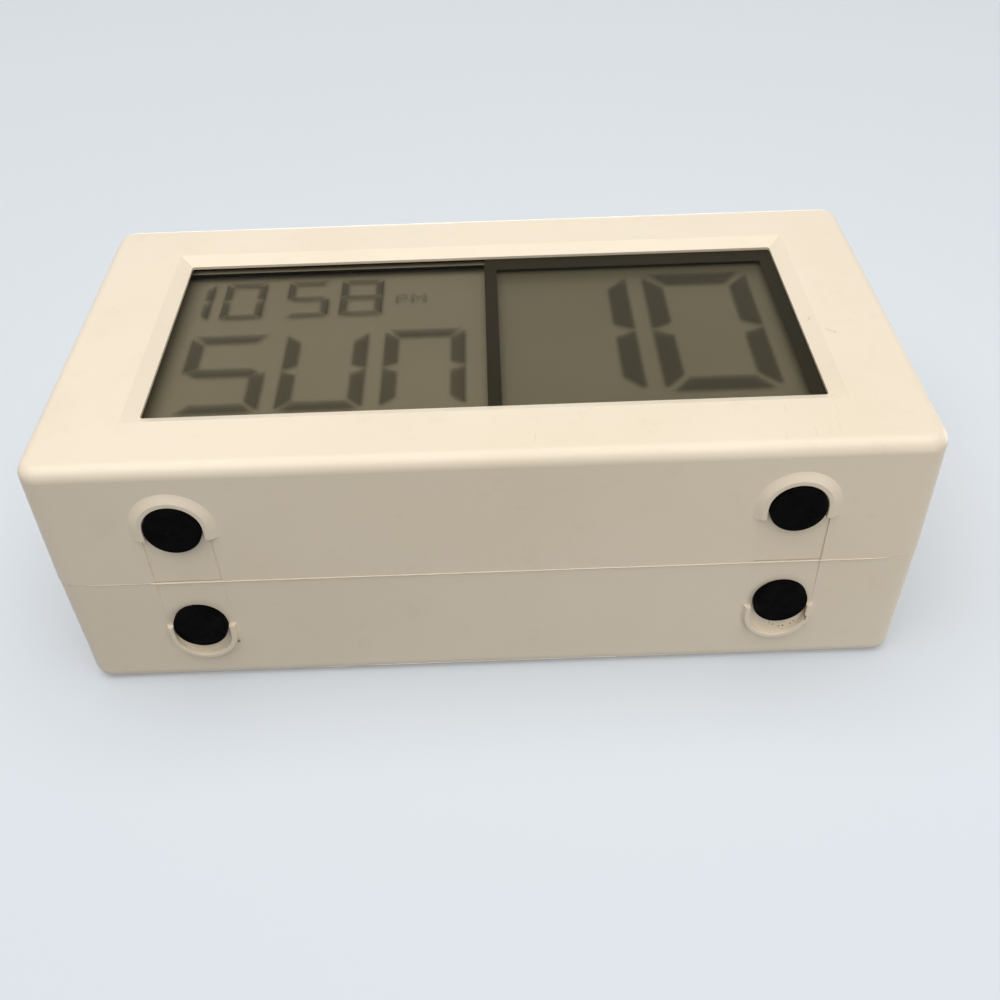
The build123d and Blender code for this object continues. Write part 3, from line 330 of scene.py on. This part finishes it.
# Two rubbed marks beside the window and the worn spot about them, as the photograph shows them.
SCUFFS = (
    ((0.0734, -0.0312, 0.0469), 0.9, 0.0014, 0.0003),
    ((0.0769, -0.0312, 0.0411), -0.7, 0.0021, 0.0005),
)
WORN_SPOT = (0.076, -0.0312, 0.0433)
CLEAR_GLOSS = 0.002
DARK_TINT = (1.1, 1.0, 0.9)

finishes = {
    "front_housing": housing(
        "front_housing_satin", (0.85, 0.748, 0.60), 0.36, 0.000006, 5200.0, WORN_SPOT, SCUFFS
    ),
    "back_housing": housing("back_housing_satin", (0.85, 0.752, 0.61), 0.42, 0.00001, 4200.0),
    "lens": pane("lens_acrylic", (0.95, 0.945, 0.93), CLEAR_GLOSS),
    "dark_plastic": moulded(
        "dark_brown_plastic", (0.034, 0.027, 0.0135), 0.55, tint=DARK_TINT, specular=0.12
    ),
    "lcd_glass": pane("lcd_glass_clear", (0.96, 0.95, 0.92), CLEAR_GLOSS),
    "time_reflector": reflector("time_reflector_foil", (0.178, 0.156, 0.102)),
    "date_reflector": reflector("date_reflector_foil", (0.139, 0.123, 0.078)),
    "connector_rubber": striped_rubber("connector_stripes"),
    "board": board("printed_board"),
    "screw_steel": steel("zinc_steel", (0.62, 0.61, 0.6), 0.32),
    "chip_plastic": moulded("chip_epoxy", (0.02, 0.02, 0.022), 0.55),
    "capacitor_can": steel("capacitor_sleeve", (0.5, 0.5, 0.53), 0.35),
    "switch_plastic": moulded("switch_plastic_black", (0.03, 0.03, 0.033), 0.45),
    "stem_plastic": moulded("stem_plastic_white", (0.75, 0.75, 0.72), 0.4),
    "red_lamp": coloured_resin("lamp_resin", (0.55, 0.02, 0.015), 0.3),
    "contact_steel": steel("contact_nickel", (0.68, 0.66, 0.62), 0.25),
    "speaker_steel": steel("speaker_zinc", (0.5, 0.5, 0.52), 0.35),
    "speaker_paper": paper("cone_paper", (0.03, 0.028, 0.026)),
    "magnet": moulded("ferrite", (0.07, 0.07, 0.075), 0.6, grain=0.00003, grain_scale=2400.0),
    "cell_wrap": moulded("cell_sleeve", (0.08, 0.085, 0.1), 0.28),
    "foot_rubber": rubber("foot_rubber_matt", (0.0015, 0.0014, 0.0012)),
    "red_button": coloured_resin("alarm_button_red", (0.6, 0.025, 0.018), 0.35),
    "grey_button": moulded("button_grey", (0.42, 0.41, 0.38), 0.45),
    "knob_plastic": moulded("knob_black", (0.05, 0.05, 0.052), 0.42),
}

for part in frame["record"]["subparts"]:
    mesh = nodes[part["node"]].data
    for index in range(len(mesh.materials)):
        mesh.materials[index] = finishes[part["material_slot"]]

# The clear panes let all the light of the lamps and the room reach what lies behind them.
for clear in ("display_lens", "time_lcd_cell", "date_lcd_cell"):
    nodes[clear].visible_shadow = False
    nodes[clear].visible_diffuse = False


def mesh_object(name, mesh_builder, material):
    """A mesh object made by mesh_builder, with its material."""
    mesh = bpy.data.meshes.new(name)
    built = bmesh.new()
    mesh_builder(built)
    built.to_mesh(mesh)
    built.free()
    mesh.materials.append(material)
    made = bpy.data.objects.new(name, mesh)
    bpy.context.scene.collection.objects.link(made)
    return made


def new_piece(name, mesh_builder, material, body="housing"):
    """A piece of the scene alone, that rides on a body."""
    piece = mesh_object(name, mesh_builder, material)
    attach(piece, body)
    return piece


def inset_ring(points, width):
    """A convex outline that runs anticlockwise, moved inwards by width corner by corner."""
    moved = []
    count = len(points)
    for i in range(count):
        before = Vector(points[i - 1])
        here = Vector(points[i])
        after = Vector(points[(i + 1) % count])
        first = (here - before).normalized()
        second = (after - here).normalized()
        first_in = Vector((-first.y, first.x))
        second_in = Vector((-second.y, second.x))
        bisector = (first_in + second_in).normalized()
        reach = width / max(0.35, bisector.dot(first_in))
        moved.append(tuple(here + bisector * reach))
    return moved


def add_segment(built, fade, points, depth, soft):
    """One flat segment in the glass, full strength inside and fading out over the soft rim."""
    count = len(points)
    if sum(points[i - 1][0] * points[i][1] - points[i][0] * points[i - 1][1] for i in range(count)) < 0:
        points = points[::-1]
    outer = inset_ring(points, -soft / 2)
    inner = inset_ring(points, soft / 2)
    rings = []
    for ring, strength in ((outer, 0.0), (inner, 1.0)):
        made = [built.verts.new((x * MM, depth * MM, z * MM)) for x, z in ring]
        for vertex in made:
            vertex[fade] = strength
        rings.append(made)
    for i in range(count):
        j = (i + 1) % count
        built.faces.new((rings[0][i], rings[0][j], rings[1][j], rings[1][i]))
    built.faces.new(rings[1])


def glyph(left, right, bottom, top, across, upright, lit, gap, nick):
    """Outlines of the lit segments of one seven segment figure.

    across and upright are the widths of its level and its standing segments, gap the clear line
    between two segments, and nick how far the outer corners of the standing ones are cut back."""
    middle = (bottom + top) / 2
    slope = gap * 0.7
    outlines = []

    def level_end(edge, inward):
        outlines.append([
            (left + slope + nick, edge),
            (right - slope - nick, edge),
            (right - slope - across * 0.98, edge + inward * across),
            (left + slope + across * 0.98, edge + inward * across),
        ])

    def level_middle():
        half = across / 2
        outlines.append([
            (left + gap + nick, middle),
            (left + gap + nick + half * 1.3, middle + half),
            (right - gap - nick - half * 1.3, middle + half),
            (right - gap - nick, middle),
            (right - gap - nick - half * 1.3, middle - half),
            (left + gap + nick + half * 1.3, middle - half),
        ])

    def standing(side, low, high, low_is_end, high_is_end):
        outer = left if side < 0 else right
        inner = outer - side * upright
        low_cut = across if low_is_end else across / 2
        high_cut = across if high_is_end else across / 2
        low_outer = low + (slope + nick if low_is_end else gap / 2)
        high_outer = high - (slope + nick if high_is_end else gap / 2)
        outlines.append([
            (outer, low_outer),
            (outer, high_outer),
            (outer - side * upright * 0.16, high_outer),
            (inner, high_outer - high_cut * 0.86),
            (inner, low_outer + low_cut * 0.86),
            (outer - side * upright * 0.16, low_outer),
        ])

    if "a" in lit:
        level_end(top, -1)
    if "d" in lit:
        level_end(bottom, 1)
    if "g" in lit:
        level_middle()
    if "f" in lit:
        standing(-1, middle, top, False, True)
    if "e" in lit:
        standing(-1, bottom, middle, True, False)
    if "b" in lit:
        standing(1, middle, top, False, True)
    if "c" in lit:
        standing(1, bottom, middle, True, False)
    return outlines


def segment_piece(name, figures, material, soft):
    """Lit segments in the glass, whose outlines count their heights from the housing's middle."""

    def build(built):
        fade = built.verts.layers.float.new("fade")
        for figure in figures:
            for outline in figure:
                placed = [(x, z + HOUSING_MIDDLE) for x, z in outline]
                add_segment(built, fade, placed, GLASS_DEPTH, soft)

    new_piece(name, build, material)


day_ink = liquid_crystal("liquid_crystal_day", (0.03, 0.026, 0.017), 0.4)
date_ink = liquid_crystal("liquid_crystal_date", (0.03, 0.026, 0.017), 0.42)
faint_ink = liquid_crystal("liquid_crystal_faint", (0.04, 0.035, 0.024), 0.25)

TIME = dict(bottom=12.2, top=28.2, across=1.7, upright=1.9, gap=0.5, nick=0.3)
DAY = dict(bottom=-24.6, top=5.1, across=3.1, upright=3.3, gap=0.9, nick=0.5)
DATE = dict(bottom=-22.3, top=25.8, across=4.9, upright=4.6, gap=1.3, nick=0.9)

segment_piece(
    "time_segments",
    [
        glyph(-76.3, -64.7, lit="bc", **TIME),
        glyph(-62.0, -52.0, lit="abcdef", **TIME),
        glyph(-46.7, -36.3, lit="afgcd", **TIME),
        glyph(-33.7, -23.4, lit="abcdefg", **TIME),
    ],
    day_ink,
    0.8,
)
segment_piece(
    "day_segments",
    [
        glyph(-66.7, -48.0, lit="afgcd", **DAY),
        glyph(-44.5, -25.7, lit="bcdef", **DAY),
        glyph(-22.0, -3.5, lit="abcef", **DAY),
    ],
    day_ink,
    0.9,
)
segment_piece(
    "date_segments",
    [
        glyph(10.2, 35.5, lit="bc", **DATE),
        glyph(39.5, 64.9, lit="abcdef", **DATE),
    ],
    date_ink,
    1.0,
)

# The two letters of the faint mark beside the time, stroke by stroke.
AFTERNOON_P = [
    [(-20.3, 16.8), (-19.5, 16.8), (-19.5, 20.6), (-20.3, 20.6)],
    [(-19.4, 19.8), (-17.6, 19.8), (-17.6, 20.6), (-19.4, 20.6)],
    [(-19.4, 18.4), (-17.6, 18.4), (-17.6, 19.1), (-19.4, 19.1)],
    [(-18.1, 19.1), (-17.4, 19.1), (-17.4, 19.8), (-18.1, 19.8)],
]
AFTERNOON_M = [
    [(-16.6, 16.8), (-15.8, 16.8), (-15.8, 20.6), (-16.6, 20.6)],
    [(-13.6, 16.8), (-12.8, 16.8), (-12.8, 20.6), (-13.6, 20.6)],
    [(-15.7, 19.8), (-14.9, 18.3), (-14.7, 19.3), (-15.7, 20.6)],
    [(-14.7, 18.3), (-13.7, 19.8), (-13.7, 20.6), (-14.7, 19.3)],
]
segment_piece("afternoon_mark", [AFTERNOON_P, AFTERNOON_M], faint_ink, 0.4)

LIP_REACH = 85.0
LIP_STEPS = 340
LIP_END = 3.0


def build_seam_lip(built):
    """Thin proud lip of the back shell along the seam underneath, uneven and faint near its left end."""
    uneven = random.Random(5)
    sections = []
    for i in range(LIP_STEPS + 1):
        x = -LIP_REACH + 2 * LIP_REACH * i / LIP_STEPS
        height = 0.15 + 0.05 * uneven.random()
        if -84.0 < x < -71.0:
            height *= 0.3
        height *= min(1.0, (LIP_REACH - abs(x)) / LIP_END)
        outline = (
            (SEAM - 0.02, HOUSING_BOTTOM + 0.04),
            (SEAM + 0.03, HOUSING_BOTTOM - height * 0.8),
            (SEAM + 0.1, HOUSING_BOTTOM - height),
            (SEAM + 0.4, HOUSING_BOTTOM + 0.12),
        )
        sections.append([built.verts.new((x * MM, y * MM, z * MM)) for y, z in outline])
    for first, second in zip(sections, sections[1:]):
        for j in range(3):
            built.faces.new((first[j], second[j], second[j + 1], first[j + 1]))


def add_crumb(built, place, size, turn):
    """One small uneven lump."""
    x, y, z = place
    stretch = Matrix.Diagonal((size[0] * MM, size[1] * MM, size[2] * MM, 1.0))
    where = Matrix.Translation((x * MM, y * MM, z * MM)) @ Matrix.Rotation(turn, 4, "Z") @ stretch
    bmesh.ops.create_icosphere(built, subdivisions=2, radius=1.0, matrix=where)


GLUE_TRAIL = ((69.0, 13.9, 1.0), (69.2, 15.4, 0.7), (69.5, 17.0, 0.5), (69.6, 18.6, 0.75), (69.5, 20.2, 1.2))
SEAT_CRUMBS = ((62.1, 19.4), (62.9, 19.9), (64.3, 20.6), (65.2, 20.4), (66.8, 19.8), (67.4, 19.0))
SEAT_FLOOR = 1.6


def build_foot_glue(built):
    """Dried glue over the right back foot's rim, crumbs in its seat, one beside the left back foot."""
    uneven = random.Random(11)
    for first, second in zip(GLUE_TRAIL, GLUE_TRAIL[1:]):
        for i in range(5):
            share = (i + uneven.random()) / 5
            place = [a + (b - a) * share + 0.16 * (uneven.random() - 0.5) for a, b in zip(first, second)]
            reach = 0.12 + 0.14 * uneven.random()
            add_crumb(built, place, (reach, reach * 1.6, reach * 0.6), uneven.random() * 0.8)
    for x, y in SEAT_CRUMBS:
        reach = 0.13 + 0.12 * uneven.random()
        add_crumb(built, (x, y, SEAT_FLOOR), (reach * 1.5, reach, reach * 0.6), uneven.random() * 3.0)
    add_crumb(built, (-56.0, 18.8, 1.2), (0.28, 0.4, 0.2), 0.5)


def add_flat_face(built, depth, left, right, low, high):
    """One flat face across the view, its heights counted from the housing's middle."""
    corners = ((left, low), (right, low), (right, high), (left, high))
    built.faces.new(
        [built.verts.new((x * MM, depth * MM, (z + HOUSING_MIDDLE) * MM)) for x, z in corners]
    )


def build_window_print(built):
    """Dark border printed on the lens: between the displays, above the date and on its right."""
    left, right = 1.25, 72.6
    inner_left, inner_right = 4.2, 68.25
    low, high = -30.9, 31.6
    inner_high = 25.7
    add_flat_face(built, PRINT_DEPTH, left, inner_left, low, high)
    add_flat_face(built, PRINT_DEPTH, inner_left, inner_right, inner_high, high)
    add_flat_face(built, PRINT_DEPTH, inner_right, right, low, high)


def build_time_border(built):
    """Upper border of the time display's glass, between the window's edge and the lit field."""
    add_flat_face(built, BORDER_DEPTH, -72.4, 1.25, 30.55, 32.6)


LINT_COUNT = 26
RIGHT_BACK_FOOT = (63.2, 11.45)


def build_foot_lint(built):
    """Lint along the rear edge of the right back foot."""
    uneven = random.Random(3)
    foot_x, foot_y = RIGHT_BACK_FOOT
    for _ in range(LINT_COUNT):
        angle = math.radians(38.0 + 80.0 * uneven.random())
        reach = 5.0 + 0.75 * uneven.random()
        place = (foot_x + reach * math.cos(angle), foot_y + reach * math.sin(angle), 0.14)
        add_crumb(built, place, (0.1 + 0.22 * uneven.random(), 0.06, 0.06), uneven.random() * 3.0)


print_ink = moulded("window_print_brown", (0.022, 0.017, 0.0075), 0.5, tint=DARK_TINT, specular=0.06)
window_print = new_piece("window_print", build_window_print, print_ink)
window_print.visible_shadow = False
border_foil = reflector("time_border_foil", (0.17, 0.148, 0.098))
new_piece("time_border", build_time_border, border_foil)
new_piece("seam_lip", build_seam_lip, finishes["back_housing"])
new_piece("foot_glue", build_foot_glue, glue("dried_glue"))
new_piece("foot_lint", build_foot_lint, paper("grey_lint", (0.16, 0.145, 0.12)))


def stage_material(name, colour):
    """Plain pale surface that shows its front only."""
    t = Tree(name)
    back = t.add("ShaderNodeNewGeometry").outputs["Backfacing"]
    return t.finish(t.blend(back, t.diffuse(colour), t.see_through()))


def stage_sheet(name, corners, material):
    """One flat sheet of the studio. Its corners run anticlockwise round its front."""

    def build(built):
        built.faces.new([built.verts.new(corner) for corner in corners])

    sheet = mesh_object(name, build, material)
    # The sheets show to the camera alone, so that they never stand in the way of the light.
    sheet.visible_shadow = False
    sheet.visible_diffuse = False
    sheet.visible_glossy = False
    sheet.visible_transmission = False


STAGE_COLOUR = (0.70, 0.745, 0.80)
SPAN = 0.9
WALL = (BACK_FACE + 0.2) * MM
stage_paint = stage_material("stage_pale", STAGE_COLOUR)
stage_sheet(
    "floor",
    [(-SPAN, -SPAN, 0.0), (SPAN, -SPAN, 0.0), (SPAN, SPAN, 0.0), (-SPAN, SPAN, 0.0)],
    stage_paint,
)
# The surface that the clock lies on in the photograph, just behind its back.
stage_sheet(
    "ground_behind_back",
    [(-SPAN, WALL, -SPAN), (SPAN, WALL, -SPAN), (SPAN, WALL, SPAN), (-SPAN, WALL, SPAN)],
    stage_paint,
)

world = bpy.data.worlds.new("studio")
bpy.context.scene.world = world
world.use_nodes = True
sky = world.node_tree
sky.nodes.clear()


def sky_node(kind, *sources, **settings):
    """A node of the world, its first sockets linked to the sources, and its first output."""
    node = sky.nodes.new(kind)
    for name, value in settings.items():
        setattr(node, name, value)
    for socket, source in zip(node.inputs, sources):
        sky.links.new(source, socket)
    return node.outputs[0] if node.outputs else None


def sky_glow(colour, strength):
    glow = sky_node("ShaderNodeBackground")
    glow.node.inputs["Color"].default_value = (*colour, 1.0)
    glow.node.inputs["Strength"].default_value = strength
    return glow


# The camera and clear and glossy faces see the backdrop, everything else gets the room's light.
rays = sky_node("ShaderNodeLightPath").node.outputs
shown = sky_node("ShaderNodeMath", rays["Is Camera Ray"], rays["Is Transmission Ray"], operation="MAXIMUM")
seen = sky_node("ShaderNodeMath", shown, rays["Is Glossy Ray"], operation="MAXIMUM")
room_light = sky_glow((1.0, 0.99, 0.97), 0.23)
backdrop = sky_glow(STAGE_COLOUR, 1.0)
sky_node("ShaderNodeOutputWorld", sky_node("ShaderNodeMixShader", seen, room_light, backdrop))

LAMP_TARGET = Vector((0.0, 0.0, 0.05))
LAMP_COLOUR = (1.0, 0.985, 0.96)


def soft_lamp(name, place, size, watts):
    """A round soft lamp that shines at the middle of the clock."""
    lamp = bpy.data.lights.new(name, "AREA")
    lamp.shape = "DISK"
    lamp.size = size
    lamp.energy = watts
    lamp.color = LAMP_COLOUR
    holder = bpy.data.objects.new(name, lamp)
    holder.location = place
    holder.rotation_mode = "QUATERNION"
    holder.rotation_quaternion = (LAMP_TARGET - Vector(place)).to_track_quat("-Z", "Y")
    bpy.context.scene.collection.objects.link(holder)


soft_lamp("ceiling", (-0.1, -1.35, -0.2), 2.2, 26.5)
soft_lamp("under_right", (0.26, 0.02, -0.3), 0.25, 0.26)
soft_lamp("overhead", (0.0, 0.25, 1.4), 1.2, 8.0)
soft_lamp("fill_behind", (0.0, 1.2, 0.9), 0.9, 9.0)
soft_lamp("fill_right", (1.3, 0.1, 0.6), 0.9, 4.0)

# The camera of the photograph, from a fit to the housing's edges, its seam, window and feet.
camera_data = bpy.data.cameras.new("photo_view")
camera_data.lens = 40.5
camera_data.sensor_width = 36.0
camera_data.clip_start = 0.01
camera_data.clip_end = 10.0
camera = bpy.data.objects.new("photo_view", camera_data)
bpy.context.scene.collection.objects.link(camera)
bpy.context.scene.camera = camera
camera.rotation_mode = "QUATERNION"
camera.location = (0.00279, -0.16923, -0.16634)
forward = Vector((0.0011, 0.6642, 0.7476))
roll = Matrix.Rotation(math.radians(-2.10), 4, "Z").to_quaternion()
camera.rotation_quaternion = forward.to_track_quat("-Z", "Y") @ roll

bpy.context.scene.view_settings.view_transform = "Standard"
